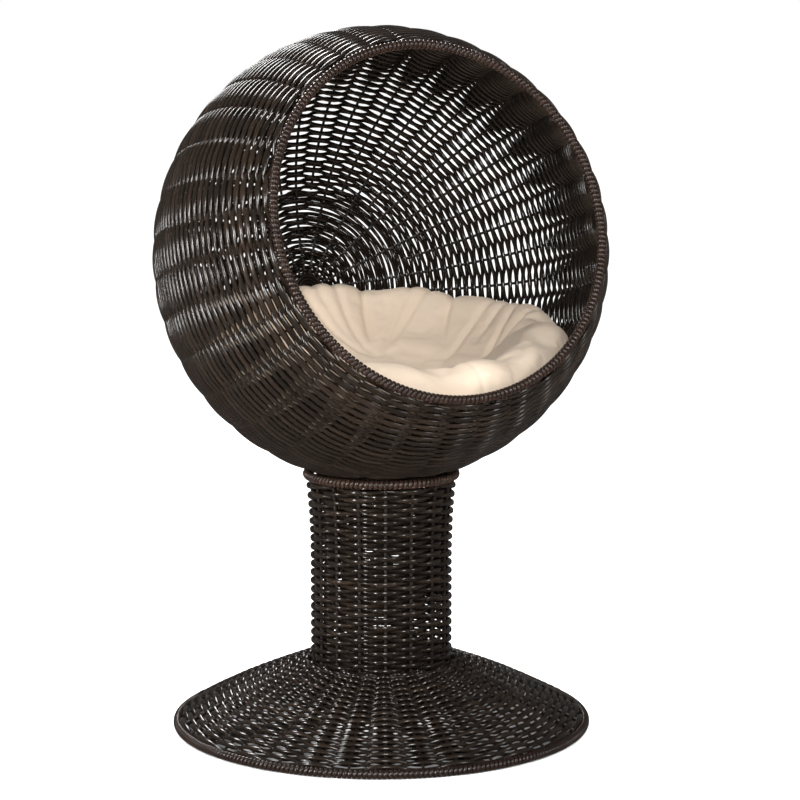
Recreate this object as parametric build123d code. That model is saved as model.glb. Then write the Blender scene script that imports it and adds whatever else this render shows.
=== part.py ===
"""Wicker pet bed: a woven ball with a round mouth, on a woven column and a woven skirt-shaped base.

Millimetres, +Z up. The origin is the middle of the base, on the floor. The mouth faces -Y and is tilted upwards.
A woven wall is a plain solid of the weave's full thickness, and the wire stakes run in the middle of it.
"""

import os
from math import asin, atan2, cos, degrees, hypot, pi, radians, sin, sqrt

from build123d import *

# Weave: a round strand passes in front of and behind wire stakes
strand_diameter = 3.8
stake_diameter = 3.0
hoop_diameter = 5.0
wrap_thickness = 2.3
fit_gap = 0.1
body_gap = 0.3
wall = stake_diameter + 2 * strand_diameter
wrap_radius = hoop_diameter / 2 + wrap_thickness

# Ball
ball_radius = 230.0
ball_height = 482.0
mouth_tilt = 17.5
mouth_radius = 175.3
ball_stake_count = 36
hub_side_angle = 4.6
hub_up_angle = 4.2
hub_radius = 15.0
side_stake_start = 28.0

# Column
column_radius = 73.0
column_flare_start = 175.0
column_flare = 4.6
column_bottom = 58.0
column_stake_count = 16
column_border_radius = 75.6

# Base skirt: the middle of its wall is an arc from the column to the outer hoop
base_hoop_radius = 210.0
base_hoop_height = 4.4
skirt_top_radius = 71.5
skirt_top_height = 66.2
skirt_bulge = 3.5
base_stake_count = 36
collar_radius = 77.0

# Steel cage inside the column, and the bars that the bolts go through
cage_radius = 59.0
cage_rod = 6.0
bar_width = 20.0
bar_thickness = 4.0
bar_height = 4.7
bolt_circle = 30.0
bolt_radius = 3.0
bolt_hole = 3.3
head_radius = 5.5
head_height = 3.0
washer_radius = 6.5
washer_thickness = 1.0
nut_size = 5.0
nut_height = 5.0
plate_radius = 45.0
plate_thickness = 2.5

# Cushion, in a frame whose axis leans forwards with its rim
cushion_clearance = 7.4
cushion_lean = 8.5
cushion_setback = 10.0
cushion_radius = 192.0
cushion_bottom = -199.0
cushion_edge = -90.0
cushion_top = -70.0
cushion_top_radius = 172.0
cushion_floor = -122.0
cushion_floor_radius = 70.0
cushion_front = 131.0
cover_thickness = 2.0

# Derived sizes
ball_middle = ball_radius - wall / 2
ball_inner = ball_radius - wall
mouth_angle = degrees(asin(mouth_radius / ball_middle))
mouth_distance = ball_middle * cos(radians(mouth_angle))
rim_step = degrees((wrap_radius + fit_gap) / ball_middle)
border_reach = ball_radius + wrap_radius + body_gap
border_height = ball_height - sqrt(border_reach**2 - column_border_radius**2)
column_top = border_height - wrap_radius - fit_gap
flare_height = column_top - column_flare_start
flare_arc = (flare_height**2 + column_flare**2) / (2 * column_flare)
bracket_top = ball_height - ball_radius - body_gap
cage_top = bracket_top - bar_thickness - cage_rod / 2
foot_bracket = bar_height + bar_thickness
cage_foot = foot_bracket + bar_thickness + cage_rod / 2
plate_floor = ball_height - sqrt(ball_inner**2 - plate_radius**2)

# The ball's own frame: X to the right, Y up along the mouth, Z out of the mouth
tilt = radians(mouth_tilt)
ball_frame = Plane(
    origin=(0, 0, ball_height), x_dir=(1, 0, 0), z_dir=(0, -cos(tilt), sin(tilt))
)


def around(count, start=0.0):
    """Angles in degrees, evenly spaced round a full turn."""
    return [start + 360.0 * index / count for index in range(count)]


def ring(major, minor, height):
    """A round rod bent into a level hoop."""
    return Pos(0, 0, height) * Torus(major, minor)


def revolved(points_face):
    """A face drawn in the XZ plane, turned round the Z axis."""
    return revolve(points_face, Axis.Z, 360)


def rod(path, diameter):
    """A round rod along a path of lines and tangent arcs."""
    start = path @ 0
    section = Plane(origin=start, z_dir=path % 0) * Circle(diameter / 2)
    return sweep(section, path)


def on_xz(radius, height):
    return Vector(radius, 0, height)


# Ball


def great_circle(start, end, angle):
    """The point on the unit ball that lies an angle in degrees from start, on the way to end."""
    side = (end - start * start.dot(end)).normalized()
    return start * cos(radians(angle)) + side * sin(radians(angle))


hub_direction = Vector(
    sin(radians(hub_side_angle)), sin(radians(hub_up_angle)), -1
).normalized()


def rim_direction(angle):
    """A direction from the ball's middle to the rim hoop."""
    out = sin(radians(mouth_angle))
    return Vector(
        out * cos(radians(angle)), out * sin(radians(angle)), cos(radians(mouth_angle))
    )


def ball_stake(angle, start_angle):
    """A wire from near the hub, along a great circle, to the rim."""
    rim = rim_direction(angle)
    end_angle = hub_direction.get_angle(rim) - 1.5 * rim_step
    points = [
        great_circle(hub_direction, rim, turn) * ball_middle
        for turn in (start_angle, (start_angle + end_angle) / 2, end_angle)
    ]
    return ball_frame * rod(ThreePointArc(*points), stake_diameter)


def sphere_point(radius, angle):
    """A point in the XZ plane, an angle in degrees from the mouth's axis."""
    return on_xz(radius * sin(radians(angle)), radius * cos(radians(angle)))


def ball_wicker():
    """The woven ball wall, closed but for the mouth, the hub and the bolt holes."""
    edge = mouth_angle + rim_step
    middle = (edge + 180) / 2
    outline = Wire(
        [
            ThreePointArc(
                sphere_point(ball_radius, edge),
                sphere_point(ball_radius, middle),
                sphere_point(ball_radius, 180),
            ),
            Line(sphere_point(ball_radius, 180), sphere_point(ball_inner, 180)),
            ThreePointArc(
                sphere_point(ball_inner, 180),
                sphere_point(ball_inner, middle),
                sphere_point(ball_inner, edge),
            ),
            Line(sphere_point(ball_inner, edge), sphere_point(ball_radius, edge)),
        ]
    )
    shell = ball_frame * revolved(Face(outline))
    shell -= ball_frame * hub_disc(hub_radius + fit_gap, 4 * wall)
    return shell - bolt_holes(ball_height - ball_middle, 4 * wall)


def hub_disc(radius, thickness):
    """A disc across the wall where the stakes meet."""
    place = Plane(origin=hub_direction * ball_middle, z_dir=hub_direction)
    return place * Cylinder(radius, thickness)


def ball_back_hub():
    """The knot that the stakes start from: a flat domed button."""
    button = hub_disc(hub_radius, wall)
    edges = button.edges().filter_by(GeomType.CIRCLE)
    return ball_frame * fillet(edges, wall * 0.3)


def ball_stakes():
    start = degrees((hub_radius + fit_gap + stake_diameter / 2) / ball_middle)
    angles = around(ball_stake_count)
    full = [ball_stake(angle, start) for angle in angles[0::2]]
    added = [ball_stake(angle, side_stake_start) for angle in angles[1::2]]
    return full + added


def ball_rim_hoop():
    return ball_frame * ring(mouth_radius, hoop_diameter / 2, mouth_distance)


def ball_rim_wrap():
    """The strand wound round the rim hoop, as a tube."""
    outside = ring(mouth_radius, wrap_radius, mouth_distance)
    bore = ring(mouth_radius, hoop_diameter / 2 + fit_gap, mouth_distance)
    return ball_frame * (outside - bore)


# Bolts


def bolt_places(height):
    return [
        Rot(0, 0, angle) * Pos(bolt_circle, 0, height) for angle in around(4)
    ]


def bolt_holes(height, length):
    """Four upright holes on the bolt circle, centred on a height."""
    return Sketch() + [
        place * Cylinder(bolt_hole, length) for place in bolt_places(height)
    ]


def bolts(head_face, tip, head_side):
    """Dome-headed bolts: the head sits on head_face, on its upper (+1) or lower (-1) side."""
    shank = Pos(0, 0, (head_face + tip) / 2) * Cylinder(
        bolt_radius, abs(head_face - tip)
    )
    head = Pos(0, 0, head_face + head_side * head_height / 2) * Cylinder(
        head_radius, head_height
    )
    crown = head.edges().filter_by(GeomType.CIRCLE)
    crown = crown.sort_by(Axis.Z)[-1 if head_side > 0 else 0]
    bolt = shank + fillet(crown, head_height * 0.6)
    return [place * bolt for place in bolt_places(0)]


def washers(*floors):
    """Flat washers, four at each height."""
    blank = Cylinder(washer_radius, washer_thickness) - Cylinder(
        bolt_hole, washer_thickness
    )
    return [
        place * blank
        for floor in floors
        for place in bolt_places(floor + washer_thickness / 2)
    ]


def nuts(floor):
    """Hexagon nuts standing on a height."""
    blank = extrude(RegularPolygon(nut_size, 6, major_radius=False), nut_height)
    blank -= Pos(0, 0, nut_height / 2) * Cylinder(bolt_radius + 0.05, nut_height)
    return [place * blank for place in bolt_places(floor)]


def cross_bars(reach, floor):
    """Two flat bars crossing at the middle, drilled on the bolt circle."""
    middle = floor + bar_thickness / 2
    bars = Pos(0, 0, middle) * Box(2 * reach, bar_width, bar_thickness)
    bars += Pos(0, 0, middle) * Box(bar_width, 2 * reach, bar_thickness)
    bars &= Pos(0, 0, middle) * Cylinder(reach, bar_thickness)
    return bars - bolt_holes(middle, 2 * bar_thickness)


def ball_mount_plate():
    """A steel disc in the bottom of the ball, under the cushion."""
    plate = Pos(0, 0, plate_floor + plate_thickness / 2) * Cylinder(
        plate_radius, plate_thickness
    )
    return plate - bolt_holes(plate_floor, 4 * plate_thickness)


# Column


def flared(height):
    """How far the column's wall stands out of its straight part at a height."""
    rise = max(0.0, height - column_flare_start)
    return flare_arc - sqrt(flare_arc**2 - rise**2)


def column_line(radius, bottom, top):
    """The column's profile at a radius: straight, then an arc that flares to the top."""
    bend = on_xz(radius, column_flare_start)
    middle = (column_flare_start + top) / 2
    return [
        Line(on_xz(radius, bottom), bend),
        ThreePointArc(
            bend,
            on_xz(radius + flared(middle), middle),
            on_xz(radius + flared(top), top),
        ),
    ]


def column_wicker():
    outer = column_line(column_radius, column_bottom, column_top)
    inner = column_line(column_radius - wall, column_bottom, column_top)
    ends = [
        Line(outer[0] @ 0, inner[0] @ 0),
        Line(outer[1] @ 1, inner[1] @ 1),
    ]
    return revolved(Face(Wire(outer + inner + ends)))


def column_stakes():
    middle = column_radius - wall / 2
    path = Wire(column_line(middle, column_bottom + 1, column_top - 1))
    stake = rod(path, stake_diameter)
    return [Rot(0, 0, angle) * stake for angle in around(column_stake_count)]


def column_top_hoop():
    return ring(column_border_radius, hoop_diameter / 2, border_height)


def column_top_border():
    outside = ring(column_border_radius, wrap_radius, border_height)
    bore = ring(column_border_radius, hoop_diameter / 2 + fit_gap, border_height)
    return outside - bore


def column_cage_rods():
    length = cage_top - cage_foot - cage_rod
    upright = Cylinder(cage_rod / 2, length)
    middle = (cage_top + cage_foot) / 2
    return [Rot(0, 0, a) * Pos(cage_radius, 0, middle) * upright for a in around(4)]


# Base

skirt_run = base_hoop_radius - skirt_top_radius
skirt_drop = skirt_top_height - base_hoop_height
skirt_chord = hypot(skirt_run, skirt_drop)
skirt_arc = (skirt_chord**2 / 4 + skirt_bulge**2) / (2 * skirt_bulge)
skirt_slope = atan2(skirt_run, skirt_drop)
skirt_centre = on_xz(
    (skirt_top_radius + base_hoop_radius) / 2
    - (skirt_arc - skirt_bulge) * cos(skirt_slope),
    (skirt_top_height + base_hoop_height) / 2
    - (skirt_arc - skirt_bulge) * sin(skirt_slope),
)
skirt_half_angle = asin(skirt_chord / 2 / skirt_arc)


def skirt_point(share, offset):
    """A point of the skirt's profile: share 0 at the column, 1 at the hoop, offset outwards."""
    angle = skirt_slope + skirt_half_angle * (1 - 2 * share)
    reach = skirt_arc + offset
    return skirt_centre + on_xz(reach * cos(angle), reach * sin(angle))


skirt_end = 1 - (wrap_radius + 1.2) / skirt_chord


def base_wicker():
    """The woven skirt, cut clear of the column."""
    half = wall / 2
    middle = skirt_end / 2
    room = 2 * body_gap
    slot = Box(2 * base_hoop_radius, bar_width + room, bar_thickness + room)
    outline = Wire(
        [
            ThreePointArc(*[skirt_point(s, half) for s in (0, middle, skirt_end)]),
            Line(skirt_point(skirt_end, half), skirt_point(skirt_end, -half)),
            ThreePointArc(*[skirt_point(s, -half) for s in (skirt_end, middle, 0)]),
            Line(skirt_point(0, -half), skirt_point(0, half)),
        ]
    )
    skirt = revolved(Face(outline))
    column = Pos(0, 0, skirt_top_height) * Cylinder(column_radius + body_gap, 80)
    slots = [
        Rot(0, 0, angle) * Pos(0, 0, bar_height + bar_thickness / 2) * slot
        for angle in (0, 90)
    ]
    return skirt - column - slots


def skirt_share(radius):
    """The share of the skirt's profile at a radius, to well within a millimetre."""
    return (radius - skirt_top_radius) / skirt_run


def base_collar_ring():
    """The hoop at the top of the skirt, round the column's foot, that the stakes start from."""
    height = skirt_point(skirt_share(collar_radius), 0).Z
    return ring(collar_radius, hoop_diameter / 2, height)


def base_stakes():
    first = skirt_share(collar_radius + hoop_diameter / 2 + body_gap)
    shares = (first, (first + skirt_end) / 2, skirt_end)
    path = ThreePointArc(*[skirt_point(share, 0) for share in shares])
    stake = rod(path, stake_diameter)
    return [Rot(0, 0, angle) * stake for angle in around(base_stake_count, 5)]


def base_outer_hoop():
    return ring(base_hoop_radius, hoop_diameter / 2, base_hoop_height)


def base_border():
    """The strand wound round the outer hoop, as a tube pressed flat where it stands on the floor."""
    outside = ring(base_hoop_radius, wrap_radius, base_hoop_height)
    bore = ring(base_hoop_radius, hoop_diameter / 2 + fit_gap, base_hoop_height)
    reach = base_hoop_radius + 2 * wrap_radius
    below = Pos(0, 0, -wrap_radius) * Cylinder(reach, 2 * wrap_radius)
    return outside - bore - below


# Cushion


def cushion_solid(inset):
    """A round stuffed cushion pressed into the ball, dished, and cut back behind the mouth."""
    side = cushion_radius - inset
    bottom = cushion_bottom + inset
    edge = on_xz(side, cushion_edge)
    crest = on_xz(cushion_top_radius, cushion_top - inset)
    turn = on_xz(side - 5, cushion_edge + (crest.Z - cushion_edge) * 0.7)
    roll = crest + on_xz(-17, -9)
    slope = crest + on_xz(-42, -32)
    dish = on_xz(cushion_floor_radius, cushion_floor - inset)
    outline = Wire(
        [
            Line(on_xz(0, dish.Z), on_xz(0, bottom)),
            Line(on_xz(0, bottom), on_xz(side, bottom)),
            Line(on_xz(side, bottom), edge),
            ThreePointArc(edge, turn, crest),
            Spline(crest, roll, slope, dish, tangents=[(-1, 0, 0), (-1, 0, 0)]),
            Line(dish, on_xz(0, dish.Z)),
        ]
    )
    lean = Pos(0, cushion_setback, ball_height) * Rot(cushion_lean, 0, 0)
    pad = lean * revolved(Face(outline))
    pad &= Pos(0, 0, ball_height) * Sphere(ball_inner - cushion_clearance - inset)
    reach = 2 * ball_radius
    front = Pos(0, 0, cushion_front - inset + reach / 2) * Box(reach, reach, reach)
    return pad - ball_frame * front


def cushion_cover():
    return cushion_solid(0) - cushion_solid(cover_thickness)


def cushion_filling():
    return cushion_solid(cover_thickness + fit_gap)


base_bolt_tip = foot_bracket + bar_thickness + washer_thickness + nut_height + 2
ball_bolt_head = plate_floor + plate_thickness + washer_thickness
ball_bolt_tip = bracket_top - bar_thickness - washer_thickness - nut_height - 2

parts = {
    "ball_wicker": ball_wicker(),
    "ball_stakes": ball_stakes(),
    "ball_back_hub": ball_back_hub(),
    "ball_rim_hoop": ball_rim_hoop(),
    "ball_rim_wrap": ball_rim_wrap(),
    "ball_mount_plate": ball_mount_plate(),
    "ball_bolts": bolts(ball_bolt_head, ball_bolt_tip, 1),
    "ball_bolt_washers": washers(
        plate_floor + plate_thickness, bracket_top - bar_thickness - washer_thickness
    ),
    "ball_bolt_nuts": nuts(
        bracket_top - bar_thickness - washer_thickness - nut_height
    ),
    "column_wicker": column_wicker(),
    "column_stakes": column_stakes(),
    "column_top_hoop": column_top_hoop(),
    "column_top_border": column_top_border(),
    "column_cage_rods": column_cage_rods(),
    "column_cage_top_ring": ring(cage_radius, cage_rod / 2, cage_top),
    "column_cage_foot_ring": ring(cage_radius, cage_rod / 2, cage_foot),
    "column_top_bracket": cross_bars(
        cage_radius + cage_rod / 2, bracket_top - bar_thickness
    ),
    "column_foot_bracket": cross_bars(cage_radius + cage_rod / 2, foot_bracket),
    "base_wicker": base_wicker(),
    "base_stakes": base_stakes(),
    "base_collar_ring": base_collar_ring(),
    "base_outer_hoop": base_outer_hoop(),
    "base_border": base_border(),
    "base_cross_bars": cross_bars(
        base_hoop_radius - wrap_radius - fit_gap, bar_height
    ),
    "base_bolts": bolts(bar_height - washer_thickness, base_bolt_tip, -1),
    "base_bolt_washers": washers(
        bar_height - washer_thickness, foot_bracket + bar_thickness
    ),
    "base_bolt_nuts": nuts(foot_bracket + bar_thickness + washer_thickness),
    "cushion_cover": cushion_cover(),
    "cushion_filling": cushion_filling(),
}

os.makedirs("parts", exist_ok=True)
for name, shape in parts.items():
    solids = shape if isinstance(shape, list) else shape.solids()
    body = Compound(children=list(solids)) if len(solids) > 1 else solids[0]
    export_step(body, f"parts/{name}.step")
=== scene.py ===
"""Looks for the wicker pet bed: woven strands, wound borders and a stuffed cushion around the CAD frame.

Metres. +Z is up, and the origin is the middle of the base, on the floor. The mouth faces -Y and upwards.
"""

import math

import bpy
import numpy as np
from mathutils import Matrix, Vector


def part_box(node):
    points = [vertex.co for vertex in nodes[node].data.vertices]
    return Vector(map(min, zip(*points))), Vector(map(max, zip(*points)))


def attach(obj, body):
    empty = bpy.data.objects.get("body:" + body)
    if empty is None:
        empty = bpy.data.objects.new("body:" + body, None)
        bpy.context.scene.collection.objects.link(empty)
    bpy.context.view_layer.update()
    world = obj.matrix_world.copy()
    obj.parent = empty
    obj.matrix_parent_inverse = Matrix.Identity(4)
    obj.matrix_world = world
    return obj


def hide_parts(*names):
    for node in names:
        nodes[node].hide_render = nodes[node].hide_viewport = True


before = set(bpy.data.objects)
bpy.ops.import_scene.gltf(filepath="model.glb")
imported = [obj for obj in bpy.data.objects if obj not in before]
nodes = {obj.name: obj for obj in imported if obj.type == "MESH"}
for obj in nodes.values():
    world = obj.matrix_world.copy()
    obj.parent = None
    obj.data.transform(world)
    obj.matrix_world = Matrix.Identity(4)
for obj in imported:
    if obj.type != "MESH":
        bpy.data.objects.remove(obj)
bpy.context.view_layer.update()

FULL_TURN = 2 * math.pi
RIGHT = np.array([1.0, 0.0, 0.0])
BACK = np.array([0.0, 1.0, 0.0])
UP = np.array([0.0, 0.0, 1.0])

# Strand and wire sizes, as in the CAD model
STRAND = 0.0038
STAKE = 0.0030
HOOP = 0.0050
WRAP_THICKNESS = 0.0023
WRAP_WIDTH = 0.0042
WALL = STAKE + 2 * STRAND
SWING = (STAKE + STRAND) / 2

# How finely strands are drawn
STRAND_SIDES = 8
WRAP_SIDES = 10
SAMPLES_PER_STAKE = 8
SAMPLES_PER_WIND = 16
SAMPLES_PER_HUB_TURN = 24

# How sharply a strand turns between two stakes, how narrowly it swells over one, and how square a wrap is
ARCH_POWER = 0.75
SWELL_POWER = 1.5
FLATNESS_POWER = 0.9

# Unevenness of hand weaving. A set of waves says how many times each of them fits round the wall
WANDER_SIZES = (0.4, 1.0)
WANDER_SCALE = 1.5
BEND_WAVES = (1, 2, 3, 5, 8)
BEND_UNEVENNESS = 0.05
DRIFT_WAVES = (2, 3, 5, 9, 13)
WIND_WAVES = (7, 13, 29, 41)
WIND_UNEVENNESS = 0.25
SLACK_LENGTH = 0.034
SLACK_SCALE = 0.5
# For each wave of slack: how many fit in the slack's length and round the wall, size and start
SLACK_WAVES = ((1.0, 2, 1.0, 0.0), (1.7, -3, 0.8, 1.3), (2.3, 7, 0.9, 2.1))

# Ball. Row pitch, spare height and slack are given against the share of the way from the hub to the rim
BALL_STAKES = 36
SIDE_STAKE_START = math.radians(28.0)
BALL_STRAND_HEIGHT = 0.0040
BALL_PITCH_SHARES = (0.0, 0.19, 0.25, 0.60, 0.78, 1.0)
BALL_PITCHES = (0.0040, 0.0041, 0.0047, 0.00475, 0.0041, 0.0040)
BALL_SPARE_SHARES = (0.0, 0.3, 0.55, 0.78, 0.88, 1.0)
BALL_SPARES = (0.0002, 0.0006, 0.0009, 0.0018, 0.0030, 0.0034)
BALL_SLACK_SHARES = (0.0, 0.05, 0.22, 0.34, 1.0)
BALL_SLACKS = (0.0, 0.0010, 0.0013, 0.0003, 0.0001)
BALL_BULGE = 0.0017
BALL_LOOSENESS = 0.00014
BALL_ROW_JITTER = 0.00015
MOUTH_WIND_PITCH = 0.0047

# Hub, a little to the right of the ball's back and above it
HUB_SIDE = math.radians(4.6)
HUB_UP = math.radians(4.2)
HUB_RADIUS = 0.015
HUB_GAP = 0.0005
ROSETTE_TURNS = 4
ROSETTE_PITCH = 0.98 * STRAND
ROSETTE_DEPTH = 0.8 * SWING

# Column. Its rows get looser from a height upwards, over a rise
COLUMN_STAKES = 16
COLUMN_STRAND_HEIGHT = 0.0043
COLUMN_ROW_PITCH = 0.0044
COLUMN_SPARE = 0.0016
COLUMN_FLARE = 0.0046
COLUMN_FLARE_START = 0.175
COLUMN_TOP_GAP = 0.0015
COLUMN_LOOSENESS = 0.00015
COLUMN_LOOSE_START = 0.19
COLUMN_LOOSE_RISE = 0.06
COLUMN_ROW_JITTERS = (0.0002, 0.0006)
COLUMN_SLACKS = (0.0001, 0.0007)
BORDER_WIND_PITCH = 0.0048

# Base
BASE_STAKES = 36
BASE_STAKE_START = math.radians(5.0)
BASE_STRAND_HEIGHT = 0.0042
BASE_ROW_PITCH = 0.0043
BASE_FIRST_ROW = 0.0045
BASE_SPARE = 0.0016
BASE_LOOSENESS = 0.0002
BASE_ROW_JITTER = 0.0002
BASE_SLACK = 0.0002
SKIRT_TOP_RADIUS = 0.0715
SKIRT_TOP_HEIGHT = 0.0662
SKIRT_BULGE = 0.0035


def box_middle(name):
    low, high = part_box(name)
    return np.array((low + high) / 2)


def box_size(name):
    low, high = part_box(name)
    return np.array(high - low)


def unit(vectors):
    return vectors / np.linalg.norm(vectors, axis=-1, keepdims=True)


# Places that come from the frame
ball_low, ball_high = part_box("ball_wicker")
BALL_RADIUS = (ball_high.x - ball_low.x) / 2
BALL_CENTRE = np.array([0.0, 0.0, ball_low.z + BALL_RADIUS])
BALL_MIDDLE = BALL_RADIUS - WALL / 2
MOUTH_CENTRE = box_middle("ball_rim_hoop")
MOUTH_RADIUS = (box_size("ball_rim_hoop")[0] - HOOP) / 2
MOUTH_AXIS = unit(MOUTH_CENTRE - BALL_CENTRE)
MOUTH_UP = np.cross(MOUTH_AXIS, RIGHT)
MOUTH_ANGLE = math.atan2(MOUTH_RADIUS, np.linalg.norm(MOUTH_CENTRE - BALL_CENTRE))
BALL_ARC = (math.pi - MOUTH_ANGLE) * BALL_MIDDLE
HUB = unit(RIGHT * math.sin(HUB_SIDE) + MOUTH_UP * math.sin(HUB_UP) - MOUTH_AXIS)

COLUMN_RADIUS = box_size("column_wicker")[0] / 2 - COLUMN_FLARE - WALL / 2
COLUMN_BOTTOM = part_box("column_wicker")[0].z
COLUMN_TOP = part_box("column_wicker")[1].z
BORDER_RADIUS = (box_size("column_top_hoop")[0] - HOOP) / 2
BORDER_HEIGHT = box_middle("column_top_hoop")[2]

FLARE_HEIGHT = COLUMN_TOP - COLUMN_FLARE_START
FLARE_ARC = (FLARE_HEIGHT**2 + COLUMN_FLARE**2) / (2 * COLUMN_FLARE)

BASE_RADIUS = (box_size("base_outer_hoop")[0] - HOOP) / 2
BASE_HEIGHT = box_middle("base_outer_hoop")[2]

# The skirt's profile is an arc from the column to the outer hoop
skirt_run = BASE_RADIUS - SKIRT_TOP_RADIUS
skirt_drop = SKIRT_TOP_HEIGHT - BASE_HEIGHT
SKIRT_CHORD = math.hypot(skirt_run, skirt_drop)
SKIRT_ARC = (SKIRT_CHORD**2 / 4 + SKIRT_BULGE**2) / (2 * SKIRT_BULGE)
SKIRT_SLOPE = math.atan2(skirt_run, skirt_drop)
SKIRT_HALF_ANGLE = math.asin(SKIRT_CHORD / 2 / SKIRT_ARC)
skirt_back = SKIRT_ARC - SKIRT_BULGE
skirt_middle_radius = (SKIRT_TOP_RADIUS + BASE_RADIUS) / 2
skirt_middle_height = (SKIRT_TOP_HEIGHT + BASE_HEIGHT) / 2
SKIRT_CENTRE_RADIUS = skirt_middle_radius - skirt_back * math.cos(SKIRT_SLOPE)
SKIRT_CENTRE_HEIGHT = skirt_middle_height - skirt_back * math.sin(SKIRT_SLOPE)


# Meshes


class Tubes:
    """Collects tubes, then makes one mesh of them.

    The grain attribute holds metres along a tube and the place round it. Each tube has a tone of its own.
    """

    def __init__(self):
        self.points = []
        self.grain = []
        self.tone = []
        self.quads = []
        self.caps = []
        self.count = 0

    def add(self, line, normal, section, closed=True, tone=0.5):
        """A tube along a line. The section's first column is along the normal, its second across it."""
        chords = np.roll(line, -1, 0) - np.roll(line, 1, 0)
        if not closed:
            chords[0] = line[1] - line[0]
            chords[-1] = line[-1] - line[-2]
        tangent = unit(chords)
        across = unit(np.cross(tangent, normal))
        out = np.cross(across, tangent)
        steps = len(line)
        sides = section.shape[-2]
        shape = np.broadcast_to(section, (steps, sides, 2))
        points = (
            line[:, None]
            + out[:, None] * shape[..., :1]
            + across[:, None] * shape[..., 1:]
        )
        gaps = np.linalg.norm(np.diff(line, axis=0), axis=1)
        along = np.concatenate([[0], np.cumsum(gaps)])
        if closed:
            along = np.minimum(along, along[-1] - along)
        turn = np.arange(sides) / sides * FULL_TURN
        grain = np.empty((steps, sides, 3))
        grain[..., 0] = along[:, None]
        grain[..., 1] = np.cos(turn)
        grain[..., 2] = np.sin(turn)
        index = self.count + np.arange(steps * sides).reshape(steps, sides)
        first = index if closed else index[:-1]
        second = np.roll(index, -1, 0) if closed else index[1:]
        quads = np.stack(
            [first, np.roll(first, -1, 1), np.roll(second, -1, 1), second], axis=-1
        )
        self.points.append(points.reshape(-1, 3))
        self.grain.append(grain.reshape(-1, 3))
        self.tone.append(np.full(steps * sides, tone))
        self.quads.append(quads.reshape(-1, 4))
        if not closed:
            self.caps += [index[0][::-1], index[-1]]
        self.count += steps * sides

    def make(self, name, material, clamp_floor=False):
        """Makes one object of all the tubes. A clamped one is pressed flat where it would pass the floor."""
        points = np.concatenate(self.points)
        if clamp_floor:
            points[:, 2] = np.maximum(points[:, 2], 0.0)
        quads = np.concatenate(self.quads)
        corners = np.concatenate([quads.reshape(-1)] + self.caps)
        sizes = np.array([4] * len(quads) + [len(cap) for cap in self.caps])
        starts = np.concatenate([[0], np.cumsum(sizes)[:-1]])
        mesh = bpy.data.meshes.new(name)
        mesh.vertices.add(len(points))
        mesh.vertices.foreach_set("co", points.astype(np.float32).reshape(-1))
        mesh.loops.add(len(corners))
        mesh.loops.foreach_set("vertex_index", corners.astype(np.int32))
        mesh.polygons.add(len(sizes))
        mesh.polygons.foreach_set("loop_start", starts.astype(np.int32))
        mesh.update(calc_edges=True)
        mesh.validate()
        mesh.shade_smooth()
        grain = mesh.attributes.new("grain", "FLOAT_VECTOR", "POINT")
        values = np.concatenate(self.grain).astype(np.float32)
        grain.data.foreach_set("vector", values.reshape(-1))
        tone = mesh.attributes.new("tone", "FLOAT", "POINT")
        tone.data.foreach_set("value", np.concatenate(self.tone).astype(np.float32))
        mesh.materials.append(material)
        thing = bpy.data.objects.new(name, mesh)
        bpy.context.scene.collection.objects.link(thing)
        return thing


def round_section(height=STRAND):
    """A strand's section: its thickness through the wall, and a height across the rows."""
    turn = (np.arange(STRAND_SIDES) + 0.5) / STRAND_SIDES * FULL_TURN
    return np.stack([np.cos(turn) * STRAND, np.sin(turn) * height], -1) / 2


def swelling_section(low, high, shares):
    """A section at each point of a strand, from low to high across the rows."""
    section = np.broadcast_to(round_section(1.0), (len(shares), STRAND_SIDES, 2)).copy()
    section[..., 1] *= (low + (high - low) * shares)[:, None]
    return section


def signed_power(values, power):
    return np.sign(values) * np.abs(values) ** power


def flat_section():
    """A strand pulled flat over a rod: rounded, wide across and thin outwards."""
    turn = np.arange(WRAP_SIDES) / WRAP_SIDES * FULL_TURN
    out = signed_power(np.cos(turn), FLATNESS_POWER) * WRAP_THICKNESS / 2
    across = signed_power(np.sin(turn), FLATNESS_POWER) * WRAP_WIDTH / 2
    return np.stack([out, across], -1)


def wander(angles, random, waves):
    """A smooth closed wobble of about unit size round a full turn."""
    total = np.zeros_like(angles)
    for wave in waves:
        size, phase = random.uniform(*WANDER_SIZES), random.uniform(0, FULL_TURN)
        total += size * np.sin(wave * angles + phase) / math.sqrt(wave)
    return total / WANDER_SCALE


def slack(place, angles):
    """A smooth unevenness in the rows' spacing, shared by neighbouring rows."""
    turn = FULL_TURN * place / SLACK_LENGTH
    total = 0
    for along, around, size, phase in SLACK_WAVES:
        total = total + size * np.sin(along * turn + around * angles + phase)
    return total * SLACK_SCALE


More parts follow.
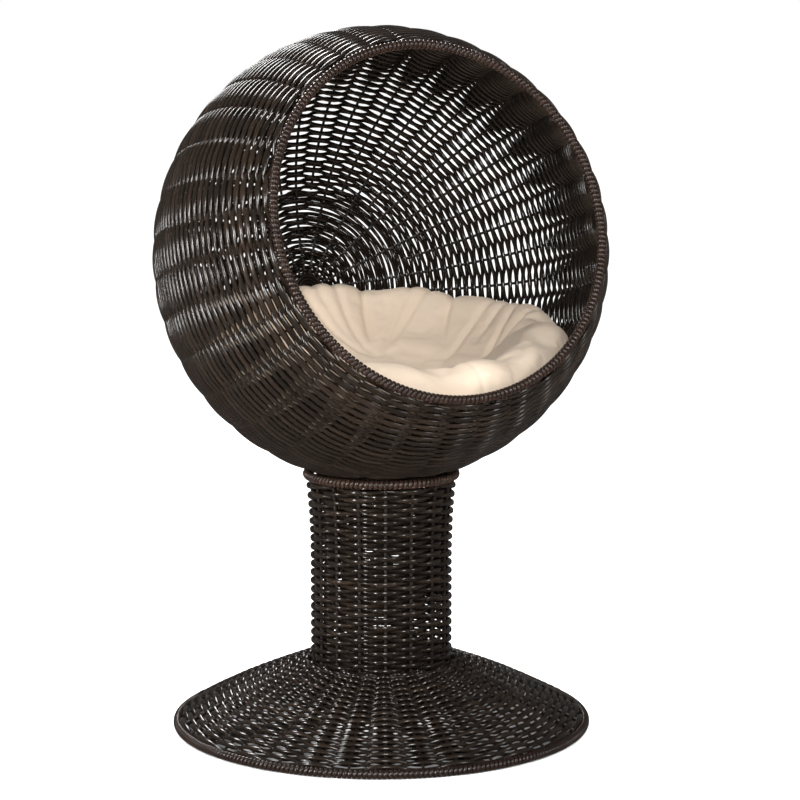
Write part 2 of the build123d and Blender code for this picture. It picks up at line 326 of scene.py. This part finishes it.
def woven_rows(
    tubes,
    surface,
    rows,
    random,
    stakes,
    height,
    spares,
    looseness,
    slacks,
    stake_start=0.0,
    first=0,
    bulge=0.0,
):
    """Closed rows of strand at places along a surface, each over one stake and under the next.

    Rows pass a stake on opposite sides in turn, and first is the number of the first row. A strand is height
    tall where it crosses between two stakes, and its row's share of spares more where it lies over one.
    Looseness is each row's own wobble, slacks is each row's share of the wall's unevenness, and bulge is how
    far the rows stand out where they cross, all in metres.
    """
    count = stakes * SAMPLES_PER_STAKE
    angles = np.arange(count) * (FULL_TURN / count)
    wave = np.cos(stakes / 2 * (angles - stake_start))
    swell = np.abs(wave) ** SWELL_POWER
    wave = signed_power(wave, ARCH_POWER)
    fill = bulge * (1 - np.abs(wave))
    for number, place in enumerate(rows):
        section = swelling_section(height, height + spares[number], swell)
        side = 1 if (number + first) % 2 else -1
        depth = SWING * (1 + BEND_UNEVENNESS * wander(angles, random, BEND_WAVES))
        drift = looseness * wander(angles, random, DRIFT_WAVES)
        drift = drift + slacks[number] * slack(place, angles)
        middle, normal = surface(place + drift, angles)
        line = middle + normal * (depth * side * wave + fill)[:, None]
        tubes.add(line, normal, section, tone=random.uniform(0, 1))


def wound_ring(tubes, centre, radius, x_dir, y_dir, pitch, random):
    """A flat strand wound side by side round a hoop."""
    axis = np.cross(x_dir, y_dir)
    turns = round(FULL_TURN * radius / pitch)
    count = turns * SAMPLES_PER_WIND
    angles = np.arange(count) / count * FULL_TURN
    uneven = WIND_UNEVENNESS * wander(angles, random, WIND_WAVES)
    roll = (turns * angles + uneven)[:, None]
    out = np.cos(angles)[:, None] * x_dir + np.sin(angles)[:, None] * y_dir
    normal = np.cos(roll) * out + np.sin(roll) * axis
    reach = HOOP / 2 + WRAP_THICKNESS / 2
    line = centre + out * radius + normal * reach
    tubes.add(line, normal, flat_section(), tone=random.uniform(0, 1))


# Surfaces: each gives the points and outward directions of its wall's middle


def ball_surface(reach, angles):
    """Points a distance along the stakes' arcs from the hub, counted on an arc of middling length."""
    flat = np.cos(angles)[:, None] * RIGHT + np.sin(angles)[:, None] * MOUTH_UP
    rim = math.sin(MOUTH_ANGLE) * flat + math.cos(MOUTH_ANGLE) * MOUTH_AXIS
    whole = np.arccos(rim @ HUB)
    side = unit(rim - (rim @ HUB)[:, None] * HUB)
    turn = reach / BALL_ARC * whole
    normal = np.cos(turn)[:, None] * HUB + np.sin(turn)[:, None] * side
    return BALL_CENTRE + BALL_MIDDLE * normal, normal


def column_surface(height, angles):
    """Points at a height on the column, which flares in an arc near its top."""
    rise = np.maximum(0, height - COLUMN_FLARE_START)
    radius = COLUMN_RADIUS + FLARE_ARC - np.sqrt(FLARE_ARC**2 - rise**2)
    normal = np.stack([np.cos(angles), np.sin(angles), 0 * angles], -1)
    points = normal * radius[:, None] + height[:, None] * UP
    return points, normal


def base_surface(reach, angles):
    """Points a distance down the skirt from the column."""
    turn = SKIRT_SLOPE + SKIRT_HALF_ANGLE * (1 - 2 * reach / SKIRT_CHORD)
    radius = SKIRT_CENTRE_RADIUS + SKIRT_ARC * np.cos(turn)
    height = SKIRT_CENTRE_HEIGHT + SKIRT_ARC * np.sin(turn)
    out = np.stack([np.cos(angles), np.sin(angles), 0 * angles], -1)
    normal = out * np.cos(turn)[:, None] + np.sin(turn)[:, None] * UP
    return out * radius[:, None] + height[:, None] * UP, normal


# Materials


def new_material(name):
    material = bpy.data.materials.new(name)
    material.use_nodes = True
    tree = material.node_tree
    tree.nodes.clear()
    output = tree.nodes.new("ShaderNodeOutputMaterial")
    shader = tree.nodes.new("ShaderNodeBsdfPrincipled")
    tree.links.new(shader.outputs["BSDF"], output.inputs["Surface"])
    return material, tree, shader


def node(tree, kind, **values):
    made = tree.nodes.new(kind)
    for key, value in values.items():
        setattr(made, key, value)
    return made


def noise(tree, vector, scale, detail=3.0, roughness=0.55):
    made = node(tree, "ShaderNodeTexNoise")
    made.inputs["Scale"].default_value = scale
    made.inputs["Detail"].default_value = detail
    made.inputs["Roughness"].default_value = roughness
    tree.links.new(vector, made.inputs["Vector"])
    return made.outputs["Fac"]


def stretched(tree, vector, scale):
    made = node(tree, "ShaderNodeMapping")
    made.inputs["Scale"].default_value = scale
    tree.links.new(vector, made.inputs["Vector"])
    return made.outputs["Vector"]


def ramp(tree, value, stops):
    made = node(tree, "ShaderNodeValToRGB")
    elements = made.color_ramp.elements
    while len(elements) < len(stops):
        elements.new(0.5)
    for element, (place, colour) in zip(elements, stops):
        element.position = place
        element.color = (*colour, 1)
    tree.links.new(value, made.inputs["Fac"])
    return made.outputs["Color"]


def spread(tree, value, low, high):
    """A value from 0 to 1 mapped to a range."""
    made = node(tree, "ShaderNodeMapRange")
    made.inputs["To Min"].default_value = low
    made.inputs["To Max"].default_value = high
    tree.links.new(value, made.inputs["Value"])
    return made.outputs["Result"]


def combined(tree, operation, *values):
    """The result of one Math node for numbers and other nodes' outputs."""
    made = node(tree, "ShaderNodeMath", operation=operation)
    for socket, value in zip(made.inputs, values):
        if isinstance(value, (int, float)):
            socket.default_value = value
        else:
            tree.links.new(value, socket)
    return made.outputs["Value"]


def bump(tree, shader, height, distance, strength=1.0):
    made = node(tree, "ShaderNodeBump")
    made.inputs["Distance"].default_value = distance
    made.inputs["Strength"].default_value = strength
    tree.links.new(height, made.inputs["Height"])
    tree.links.new(made.outputs["Normal"], shader.inputs["Normal"])


def strand_material(name, dark, mid, light, roughness):
    """Extruded resin strand: streaks along it, a tone of its own, and a smooth skin."""
    material, tree, shader = new_material(name)
    grain = node(tree, "ShaderNodeAttribute", attribute_name="grain").outputs["Vector"]
    tone = node(tree, "ShaderNodeAttribute", attribute_name="tone").outputs["Fac"]
    streaks = noise(tree, stretched(tree, grain, (30, 1.6, 1.6)), 1.0, 4.0)
    patches = noise(tree, stretched(tree, grain, (9, 0.2, 0.2)), 1.0, 2.0)
    own_tone = combined(tree, "MULTIPLY", tone, 0.35)
    streaked = combined(tree, "MULTIPLY_ADD", streaks, 0.30, own_tone)
    total = combined(tree, "MULTIPLY_ADD", patches, 0.35, streaked)
    colour = ramp(tree, total, [(0.25, dark), (0.55, mid), (0.85, light)])
    tree.links.new(colour, shader.inputs["Base Color"])
    tree.links.new(
        spread(tree, streaks, roughness - 0.05, roughness + 0.10),
        shader.inputs["Roughness"],
    )
    shader.inputs["IOR"].default_value = 1.45
    ridges = noise(tree, stretched(tree, grain, (6, 4.0, 4.0)), 1.0, 2.0)
    bump(tree, shader, ridges, 0.00015, 0.4)
    return material


def coated_steel(name, colour, worn):
    """Dark powder-coated wire with a faint orange-peel skin."""
    material, tree, shader = new_material(name)
    place = node(tree, "ShaderNodeTexCoord").outputs["Object"]
    patches = noise(tree, place, 60, 4.0)
    tree.links.new(
        ramp(tree, patches, [(0.35, colour), (0.8, worn)]), shader.inputs["Base Color"]
    )
    tree.links.new(spread(tree, patches, 0.32, 0.5), shader.inputs["Roughness"])
    bump(tree, shader, noise(tree, place, 1800, 2.0), 0.0001, 0.4)
    return material


def zinc_steel(name):
    material, tree, shader = new_material(name)
    place = node(tree, "ShaderNodeTexCoord").outputs["Object"]
    crystals = node(tree, "ShaderNodeTexVoronoi")
    crystals.inputs["Scale"].default_value = 500
    tree.links.new(place, crystals.inputs["Vector"])
    tree.links.new(
        ramp(
            tree,
            crystals.outputs["Distance"],
            [(0.0, (0.50, 0.50, 0.48)), (1.0, (0.72, 0.72, 0.70))],
        ),
        shader.inputs["Base Color"],
    )
    shader.inputs["Metallic"].default_value = 1.0
    tree.links.new(
        spread(tree, noise(tree, place, 200, 3.0), 0.28, 0.48),
        shader.inputs["Roughness"],
    )
    bump(tree, shader, noise(tree, place, 2500, 2.0), 0.00005, 0.5)
    return material


STRAND_LOOK = strand_material(
    "wicker_strand",
    (0.0072, 0.0047, 0.0033),
    (0.0132, 0.0091, 0.0063),
    (0.0270, 0.0168, 0.0112),
    0.15,
)
WRAP_LOOK = strand_material(
    "wicker_wrap_strand",
    (0.0110, 0.0062, 0.0044),
    (0.0220, 0.0122, 0.0086),
    (0.0460, 0.0255, 0.0180),
    0.20,
)
STAKE_LOOK = coated_steel("stake_wire", (0.014, 0.010, 0.009), (0.030, 0.020, 0.016))
FRAME_LOOK = coated_steel("frame_steel", (0.016, 0.012, 0.011), (0.035, 0.026, 0.022))
ZINC_LOOK = zinc_steel("zinc_plate")


# Pieces


def finish_piece(thing, body, slot, *replaced):
    """Hides the CAD nodes that a piece stands for, and attaches it to the body that it moves with. The slot
    argument is not used.
    """
    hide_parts(*replaced)
    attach(thing, body)


def ball_rows():
    """The rows' places along the stakes' arcs, from the hub to the rim."""
    first = HUB_RADIUS + STRAND / 2 + HUB_GAP
    last = BALL_ARC - HOOP / 2 - WRAP_THICKNESS - STRAND / 2
    rows = [first]
    while rows[-1] < last:
        share = rows[-1] / BALL_ARC
        rows.append(rows[-1] + np.interp(share, BALL_PITCH_SHARES, BALL_PITCHES))
    return first + (np.array(rows) - first) * (last - first) / (rows[-1] - first)


def ball_weave():
    """The ball's rows in three pieces. Half of the stakes start at the first piece's edge."""
    random = np.random.RandomState(11)
    rows = ball_rows()
    rows[1:-1] += random.uniform(-BALL_ROW_JITTER, BALL_ROW_JITTER, len(rows) - 2)
    shares = rows / BALL_ARC
    slacks = np.interp(shares, BALL_SLACK_SHARES, BALL_SLACKS)
    spares = np.interp(shares, BALL_SPARE_SHARES, BALL_SPARES)
    change = int(np.sum(rows < SIDE_STAKE_START * BALL_MIDDLE))
    half = change + (len(rows) - change) // 2
    spans = (
        ("ball_weave_back", 0, change, BALL_STAKES // 2),
        ("ball_weave_middle", change, half, BALL_STAKES),
        ("ball_weave_front", half, len(rows), BALL_STAKES),
    )
    for name, first, end, stakes in spans:
        tubes = Tubes()
        woven_rows(
            tubes,
            ball_surface,
            rows[first:end],
            random,
            stakes=stakes,
            height=BALL_STRAND_HEIGHT,
            spares=spares[first:end],
            looseness=BALL_LOOSENESS,
            slacks=slacks[first:end],
            first=first,
            bulge=BALL_BULGE,
        )
        piece = tubes.make(name, STRAND_LOOK)
        finish_piece(piece, "basket", "wicker", "ball_wicker")


def hub_rosette():
    """A flat spiral of strand over each face of the hub."""
    tubes = Tubes()
    side = unit(np.cross(UP, HUB))
    rise = np.cross(HUB, side)
    count = ROSETTE_TURNS * SAMPLES_PER_HUB_TURN
    angles = np.linspace(0, ROSETTE_TURNS * FULL_TURN, count)
    reach = HUB_GAP + angles / FULL_TURN * ROSETTE_PITCH
    for face in (1, -1):
        turn = (angles * face)[:, None]
        flat = np.cos(turn) * side + np.sin(turn) * rise
        direction = unit(HUB * BALL_MIDDLE + flat * reach[:, None])
        line = BALL_CENTRE + direction * (BALL_MIDDLE + face * ROSETTE_DEPTH)
        tubes.add(line, direction, round_section(), closed=False)
    rosette = tubes.make("ball_hub_rosette", STRAND_LOOK)
    finish_piece(rosette, "basket", "wicker", "ball_back_hub")


def rim_winding():
    """The strand wound round the mouth's hoop."""
    tubes = Tubes()
    random = np.random.RandomState(23)
    wound_ring(
        tubes, MOUTH_CENTRE, MOUTH_RADIUS, RIGHT, MOUTH_UP, MOUTH_WIND_PITCH, random
    )
    wrap = tubes.make("mouth_rim_winding", WRAP_LOOK)
    finish_piece(wrap, "basket", "wicker_wrap", "ball_rim_wrap")


def level_winding(name, height, radius, random, replaced, clamp_floor=False):
    """A strand wound round a level hoop."""
    tubes = Tubes()
    wound_ring(tubes, UP * height, radius, RIGHT, BACK, BORDER_WIND_PITCH, random)
    border = tubes.make(name, WRAP_LOOK, clamp_floor)
    finish_piece(border, "basket", "wicker_wrap", replaced)


def even_rows(first, last, pitch):
    return np.linspace(first, last, round((last - first) / pitch) + 1)


def column_weave():
    """The column's rows, looser towards the top, and the border above them."""
    random = np.random.RandomState(31)
    first = COLUMN_BOTTOM + STRAND / 2
    last = COLUMN_TOP - STRAND / 2 - COLUMN_TOP_GAP
    rows = even_rows(first, last, COLUMN_ROW_PITCH)
    loose_share = (rows - COLUMN_LOOSE_START) / COLUMN_LOOSE_RISE
    jitter = np.interp(loose_share, (0, 1), COLUMN_ROW_JITTERS)
    rows = rows + random.uniform(-1, 1, len(rows)) * jitter
    tubes = Tubes()
    woven_rows(
        tubes,
        column_surface,
        rows,
        random,
        stakes=COLUMN_STAKES,
        height=COLUMN_STRAND_HEIGHT,
        spares=np.full(len(rows), COLUMN_SPARE),
        looseness=COLUMN_LOOSENESS,
        slacks=np.interp(loose_share, (0, 1), COLUMN_SLACKS),
    )
    weave = tubes.make("column_weave", STRAND_LOOK)
    finish_piece(weave, "basket", "wicker", "column_wicker")
    level_winding(
        "column_top_winding", BORDER_HEIGHT, BORDER_RADIUS, random, "column_top_border"
    )


def base_weave():
    """The skirt's rows from the column outwards, and the border on the floor."""
    random = np.random.RandomState(47)
    last = SKIRT_CHORD - HOOP / 2 - WRAP_THICKNESS - STRAND / 2
    rows = even_rows(BASE_FIRST_ROW, last, BASE_ROW_PITCH)
    rows = rows + random.uniform(-BASE_ROW_JITTER, BASE_ROW_JITTER, len(rows))
    tubes = Tubes()
    woven_rows(
        tubes,
        base_surface,
        rows,
        random,
        stakes=BASE_STAKES,
        height=BASE_STRAND_HEIGHT,
        spares=np.full(len(rows), BASE_SPARE),
        looseness=BASE_LOOSENESS,
        slacks=np.full(len(rows), BASE_SLACK),
        stake_start=BASE_STAKE_START,
    )
    weave = tubes.make("base_weave", STRAND_LOOK)
    finish_piece(weave, "basket", "wicker", "base_wicker")
    level_winding(
        "base_rim_winding", BASE_HEIGHT, BASE_RADIUS, random, "base_border", clamp_floor=True
    )


def finish_cad_nodes():
    """The CAD nodes that stay keep their shape and get their own materials."""
    for name, thing in nodes.items():
        if name.startswith("cushion"):
            continue
        look = FRAME_LOOK
        if "bolt" in name:
            look = ZINC_LOOK
        elif name.endswith("stakes"):
            look = STAKE_LOOK
        thing.data.materials.clear()
        thing.data.materials.append(look)


ball_weave()
hub_rosette()
rim_winding()
column_weave()
base_weave()
finish_cad_nodes()


# Cushion


# The cushion's own axes lean forwards with its rim, and start a little behind the ball's middle
CUSHION_LEAN = math.radians(8.5)
CUSHION_ORIGIN = BALL_CENTRE + 0.010 * BACK
CUSHION_AXES = np.array(
    [
        [1.0, 0.0, 0.0],
        [0.0, math.cos(CUSHION_LEAN), math.sin(CUSHION_LEAN)],
        [0.0, -math.sin(CUSHION_LEAN), math.cos(CUSHION_LEAN)],
    ]
)
CUSHION_VOXEL = 0.0048
# How far it reaches from the ball's middle, and forwards to the mouth
CUSHION_REACH = 0.2165
CUSHION_FRONT = 0.1340
# Heights along its own axis: below the first it rests on the wall, and above the second it is creased
CUSHION_UNDERSIDE = -0.128
CUSHION_DISH = -0.138

# The rim is shaped from a height upwards and from a radius outwards, more and more over a rise and a width
RIM_BOTTOM = -0.150
RIM_RISE = 0.060
RIM_START = 0.080
RIM_WIDTH = 0.075
# Where it is made fuller: direction and spread in degrees, and size
RIM_WIDENINGS = ((-8, 42, 0.075), (-172, 42, 0.045))
RIM_LIFTS = ((-32, 34, 0.010), (-148, 34, 0.008), (6, 30, 0.005), (-95, 24, -0.003))
# Lumps round the rim: how many, start and size
RIM_LUMPS = ((9, 0.7, 0.0022), (14, 2.0, 0.0016))
# The dish sinks most in the middle, and only above a height, so that the underside stays
DISH_SINK = 0.012
DISH_RADIUS = 0.110
DISH_LOWEST = -0.140

# Creases fan out over the cushion's wall, from each fan's start to directions in degrees
CREASE_FANS = (
    ((0.047, 0.070), (95, 88, 80, 68, 49, 41)),
    ((0.112, 0.054), (35,)),
    ((0.082, 0.008), (18,)),
    ((0.128, 0.012), (12,)),
    ((0.112, -0.034), (8, -3)),
    ((-0.045, 0.030), (101, 113, 127, 139)),
    ((-0.104, -0.020), (152, 163, 176, 188)),
    ((-0.060, -0.110), (214, 236)),
)
CREASE_POINTS = 40
CREASE_END = 0.198
CREASE_BEND = 0.010
# Neighbouring creases start at different shares of their way, and differ in strength
CREASE_STARTS = (0.04, 0.22)
CREASE_STRENGTHS = (1.0, 0.6, 0.85)
# A crease's depth against the share of the way along it
CREASE_FADE_SHARES = (0.0, 0.25, 0.8, 1.0)
CREASE_FADES = (0.35, 1.0, 0.9, 0.6)
# Widths and depths of a crease before, during and after the simulation
FOLD_WIDTH = 0.0045
FOLD_DEPTH = 0.0035
PIN_WIDTH = 0.0034
GROOVE_WIDTH = 0.0022
GROOVE_DEPTH = 0.0016

SEAM_DIRECTION = math.radians(-81.5)
SEAM_START = -0.150
SEAM_WIDTH = 0.0020
SEAM_DEPTH = 0.0009

# A point is pinned by a gain and an offset on its depth in a crease, if that comes to more than the least
PIN_GAIN = 1.4
PIN_OFFSET = 0.3
PIN_LEAST = 0.02
SIMULATION_FRAMES = 20
MOST_PUFF = 0.008


def bell(values, middle, width):
    return np.exp(-(((values - middle) / width) ** 2))


def bells(values, table):
    """A sum of bells, each with a middle, a width and a size."""
    return sum(size * bell(values, middle, width) for middle, width, size in table)


def crease_lines():
    """Each crease as points in plan, bending a little towards the back on its way out."""
    lines = []
    share = np.linspace(0, 1, CREASE_POINTS)[:, None]
    for start, directions in CREASE_FANS:
        start = np.array(start)
        for number, direction in enumerate(directions):
            turn = math.radians(direction)
            out = np.array([math.cos(turn), math.sin(turn)])
            side = np.array([-math.sin(turn), math.cos(turn)])
            end = CREASE_END * out
            bend = (start + end) / 2 + CREASE_BEND * side
            first = CREASE_STARTS[number % 2]
            part = first + (1 - first) * share
            lines.append(
                (1 - part) ** 2 * start + 2 * part * (1 - part) * bend + part**2 * end
            )
    return lines


def crease_depth(local, width):
    """From 0 to 1, how deep in a crease each point lies, for points on the cushion's wall and edge."""
    depth = np.zeros(len(local))
    upper = local[:, 2] > CUSHION_DISH
    plan = local[upper, :2]
    deepest = np.zeros(len(plan))
    for number, line in enumerate(crease_lines()):
        strength = CREASE_STRENGTHS[number % 3]
        gaps = np.linalg.norm(plan[:, None] - line[None], axis=2)
        share = gaps.argmin(1) / len(line)
        fade = np.interp(share, CREASE_FADE_SHARES, CREASE_FADES)
        found = strength * fade * bell(gaps.min(1), 0, width)
        deepest = np.maximum(deepest, found)
    depth[upper] = deepest
    return depth


def seam_depth(local):
    """From 0 to 1, how deep each point lies in the short sewn seam down the front lip."""
    across = np.array([-math.sin(SEAM_DIRECTION), math.cos(SEAM_DIRECTION)])
    ahead = local[:, 1] < SEAM_START
    return np.where(ahead, bell(local[:, :2] @ across, 0, SEAM_WIDTH), 0)


def coordinates(mesh):
    values = np.empty(len(mesh.vertices) * 3, np.float32)
    mesh.vertices.foreach_get("co", values)
    return values.reshape(-1, 3).astype(float)


def move_to(mesh, points):
    mesh.vertices.foreach_set("co", points.astype(np.float32).reshape(-1))
    mesh.update()


def normals(mesh):
    values = np.empty(len(mesh.vertices) * 3, np.float32)
    mesh.vertex_normals.foreach_get("vector", values)
    return values.reshape(-1, 3).astype(float)


def baked(thing):
    """The object's new mesh, with its modifiers applied and gone."""
    graph = bpy.context.evaluated_depsgraph_get()
    mesh = bpy.data.meshes.new_from_object(thing.evaluated_get(graph))
    thing.modifiers.clear()
    thing.data = mesh
    return mesh


def cushion_local(points):
    return (points - CUSHION_ORIGIN) @ CUSHION_AXES.T


def cushion_world(local):
    return CUSHION_ORIGIN + local @ CUSHION_AXES


def kept_inside(points):
    """Points drawn back inside the ball's wall and behind the mouth."""
    out = points - BALL_CENTRE
    reach = np.linalg.norm(out, axis=1, keepdims=True)
    out = out * np.minimum(1, CUSHION_REACH / reach)
    ahead = np.maximum(0, out @ MOUTH_AXIS - CUSHION_FRONT)
    return BALL_CENTRE + out - ahead[:, None] * MOUTH_AXIS


def shaped_cushion(local):
    """The plain solid with fuller sides, a lip that rises towards them, and a deeper dish."""
    turn = np.degrees(np.arctan2(local[:, 1], local[:, 0]))
    turn = (turn + 270) % 360 - 270
    reach = np.hypot(local[:, 0], local[:, 1])
    upper = np.clip((local[:, 2] - RIM_BOTTOM) / RIM_RISE, 0, 1)
    rim = np.clip((reach - RIM_START) / RIM_WIDTH, 0, 1) * upper
    wider = 1 + bells(turn, RIM_WIDENINGS) * rim
    lumps = sum(
        size * np.sin(np.radians(turn) * count + start)
        for count, start, size in RIM_LUMPS
    )
    dish = np.maximum(0, 1 - (reach / DISH_RADIUS) ** 2) * (local[:, 2] > DISH_LOWEST)
    shaped = local.copy()
    shaped[:, :2] *= wider[:, None]
    shaped[:, 2] += (bells(turn, RIM_LIFTS) + lumps) * rim - DISH_SINK * dish
    return shaped


def cushion_look():
    """Soft brushed fabric: a fine weave, a nap, and small soft wrinkles."""
    material, tree, shader = new_material("cushion_fabric")
    place = node(tree, "ShaderNodeTexCoord").outputs["Object"]
    patches = noise(tree, place, 14, 3.0)
    colour = ramp(
        tree, patches, [(0.3, (0.82, 0.665, 0.515)), (0.7, (0.87, 0.715, 0.56))]
    )
    tree.links.new(colour, shader.inputs["Base Color"])
    tree.links.new(spread(tree, patches, 0.82, 0.95), shader.inputs["Roughness"])
    shader.inputs["Sheen Weight"].default_value = 0.08
    shader.inputs["Sheen Roughness"].default_value = 0.45
    folds = noise(tree, stretched(tree, place, (26, 26, 12)), 1.0, 2.0)
    nap = noise(tree, place, 1100, 2.0)
    bump(tree, shader, combined(tree, "MULTIPLY_ADD", nap, 0.10, folds), 0.0022, 0.55)
    return material


def pin(thing, local):
    """Holds the points that the pressure doesn't move: the creases, and the underside on the wall."""
    under = local[:, 2] < CUSHION_UNDERSIDE
    creased = PIN_GAIN * crease_depth(local, PIN_WIDTH) - PIN_OFFSET
    weights = np.where(under, 1.0, np.clip(creased, 0, 1))
    group = thing.vertex_groups.new(name="pinned")
    for index in np.nonzero(weights > PIN_LEAST)[0]:
        group.add([int(index)], float(weights[index]), "REPLACE")


def puffed(thing):
    """The mesh after a cloth simulation that inflates it between its creases."""
    cloth = thing.modifiers.new("cloth", "CLOTH")
    settings = cloth.settings
    settings.quality = 5
    settings.mass = 0.3
    settings.tension_stiffness = 12
    settings.compression_stiffness = 8
    settings.shear_stiffness = 5
    settings.bending_stiffness = 0.3
    settings.use_pressure = True
    settings.uniform_pressure_force = 4.0
    settings.shrink_min = -0.022
    settings.vertex_group_mass = "pinned"
    settings.effector_weights.gravity = 0.0
    scene = bpy.context.scene
    for number in range(1, SIMULATION_FRAMES + 1):
        scene.frame_set(number)
    mesh = baked(thing)
    scene.frame_set(1)
    return mesh


def remeshed_filling():
    """A copy of the cushion's plain solid, with an even mesh."""
    source = nodes["cushion_filling"]
    thing = bpy.data.objects.new("cushion", source.data.copy())
    bpy.context.scene.collection.objects.link(thing)
    remesh = thing.modifiers.new("remesh", "REMESH")
    remesh.mode = "VOXEL"
    remesh.voxel_size = CUSHION_VOXEL
    baked(thing)
    return thing


def pressed_in(mesh, points, depth):
    """The mesh's points, each moved inwards by a depth."""
    return points - normals(mesh) * depth[:, None]


def simulate(thing, before):
    """Puffs the pinned cushion, with each point's way kept short and inside the ball."""
    mesh = puffed(thing)
    shift = coordinates(mesh) - before
    size = np.linalg.norm(shift, axis=1, keepdims=True)
    shift *= MOST_PUFF * np.tanh(size / MOST_PUFF) / np.maximum(size, 1e-9)
    move_to(mesh, kept_inside(before + shift))
    thing.vertex_groups.clear()


def cushion():
    """The stuffed cushion: shaped, folded, puffed by the simulation, smoothed and grooved."""
    thing = remeshed_filling()
    mesh = thing.data
    local = shaped_cushion(cushion_local(coordinates(mesh)))
    points = kept_inside(cushion_world(local))
    move_to(mesh, points)
    local = cushion_local(points)
    before = pressed_in(mesh, points, FOLD_DEPTH * crease_depth(local, FOLD_WIDTH))
    move_to(mesh, before)
    pin(thing, local)
    simulate(thing, before)
    smooth = thing.modifiers.new("smooth", "SUBSURF")
    smooth.levels = 1
    mesh = baked(thing)
    points = coordinates(mesh)
    local = cushion_local(points)
    creases = GROOVE_DEPTH * crease_depth(local, GROOVE_WIDTH)
    grooves = creases + SEAM_DEPTH * seam_depth(local)
    move_to(mesh, kept_inside(pressed_in(mesh, points, grooves)))
    mesh.name = "cushion"
    mesh.shade_smooth()
    mesh.materials.clear()
    mesh.materials.append(cushion_look())
    finish_piece(thing, "cushion", "cushion_fabric", "cushion_cover", "cushion_filling")


cushion()


# Studio


SEEN_WORLD = (1.0, 1.0, 1.0, 1)
WORLD_LIGHT = (1.0, 0.97, 0.94, 1)
WORLD_STRENGTH = 0.13
FLOOR_REACH = 40.0
FLOOR_DROP = 0.0005
FLOOR_DARK = (0.80, 0.80, 0.80)
FLOOR_LIGHT = (0.84, 0.84, 0.84)

# The floor has a sun of its own, which only the base shades
SUN_DIRECTION = (-0.1, 0.2, -1.0)
SUN_STRENGTH = 4.3
SUN_SPREAD = math.radians(60)
SUN_SHADES = ("base_weave", "base_rim_winding")

# Soft boxes: place, the point that each faces, width and height, and watts
SOFT_BOXES = {
    "front_box": ((-2.3, -5.0, 2.75), (0, 0, 0.45), (1.2, 1.2), 232),
    "left_box": ((-2.8, -0.7, 0.9), (0, 0, 0.4), (0.22, 1.3), 70),
    "right_box": ((1.3, -2.4, 1.5), (0, 0, 0.4), (0.45, 1.2), 26),
    "top_box": ((-0.2, 1.5, 2.3), (0, 0, 0.3), (1.3, 0.5), 56),
}

CAMERA_LENS = 106.7
CAMERA_SENSOR = 36.0
CAMERA_PLACE = (-1.0576, -2.1455, 0.6546)
CAMERA_DIRECTION = (0.44535, 0.88549, -0.13261)


def added(name, data, place, direction):
    """A light or camera at a place, looking in a direction."""
    thing = bpy.data.objects.new(name, data)
    thing.location = place
    thing.rotation_euler = Vector(direction).to_track_quat("-Z", "Y").to_euler()
    bpy.context.scene.collection.objects.link(thing)
    return thing


def background(tree, colour, strength):
    made = node(tree, "ShaderNodeBackground")
    made.inputs["Color"].default_value = colour
    made.inputs["Strength"].default_value = strength
    return made.outputs["Background"]


def surroundings():
    """Plain white where the camera sees past the object, and a dimmer, warmer light from all round."""
    world = bpy.data.worlds.new("studio")
    bpy.context.scene.world = world
    world.use_nodes = True
    tree = world.node_tree
    tree.nodes.clear()
    output = node(tree, "ShaderNodeOutputWorld")
    mix = node(tree, "ShaderNodeMixShader")
    path = node(tree, "ShaderNodeLightPath")
    tree.links.new(path.outputs["Is Camera Ray"], mix.inputs["Fac"])
    tree.links.new(background(tree, WORLD_LIGHT, WORLD_STRENGTH), mix.inputs[1])
    tree.links.new(background(tree, SEEN_WORLD, 1.0), mix.inputs[2])
    tree.links.new(mix.outputs["Shader"], output.inputs["Surface"])


def pale_floor():
    """A plain pale floor that isn't mirrored in the glossy strands."""
    reach = FLOOR_REACH
    corners = [(-reach, -reach, 0), (reach, -reach, 0), (reach, reach, 0), (-reach, reach, 0)]
    mesh = bpy.data.meshes.new("floor")
    mesh.from_pydata(corners, [], [(0, 1, 2, 3)])
    floor = bpy.data.objects.new("floor", mesh)
    floor.location.z = -FLOOR_DROP
    floor.visible_glossy = False
    bpy.context.scene.collection.objects.link(floor)
    material, tree, shader = new_material("pale_floor")
    shader.inputs["Roughness"].default_value = 0.95
    shader.inputs["Specular IOR Level"].default_value = 0.0
    place = node(tree, "ShaderNodeTexCoord").outputs["Object"]
    grain = noise(tree, place, 3.0, 2.0)
    colour = ramp(tree, grain, [(0.0, FLOOR_DARK), (1.0, FLOOR_LIGHT)])
    tree.links.new(colour, shader.inputs["Base Color"])
    mesh.materials.append(material)
    return floor


def collection_of(name, things):
    made = bpy.data.collections.new(name)
    for thing in things:
        made.objects.link(thing)
    return made


def floor_sun(floor):
    """A broad sun that lights only the floor."""
    data = bpy.data.lights.new("floor_light", "SUN")
    data.energy = SUN_STRENGTH
    data.angle = SUN_SPREAD
    linking = added("floor_light", data, (0, 0, 0), SUN_DIRECTION).light_linking
    shades = [bpy.data.objects[name] for name in SUN_SHADES]
    linking.receiver_collection = collection_of("floor_only", [floor])
    linking.blocker_collection = collection_of("floor_shading", shades)


def soft_box(name, place, target, size, power):
    data = bpy.data.lights.new(name, "AREA")
    data.shape = "RECTANGLE"
    data.size, data.size_y = size
    data.energy = power
    added(name, data, place, Vector(target) - Vector(place))


def studio():
    bpy.context.scene.view_settings.view_transform = "Standard"
    surroundings()
    floor_sun(pale_floor())
    for name, facts in SOFT_BOXES.items():
        soft_box(name, *facts)


def camera():
    data = bpy.data.cameras.new("camera")
    data.lens = CAMERA_LENS
    data.sensor_width = CAMERA_SENSOR
    bpy.context.scene.camera = added("camera", data, CAMERA_PLACE, CAMERA_DIRECTION)


studio()
camera()
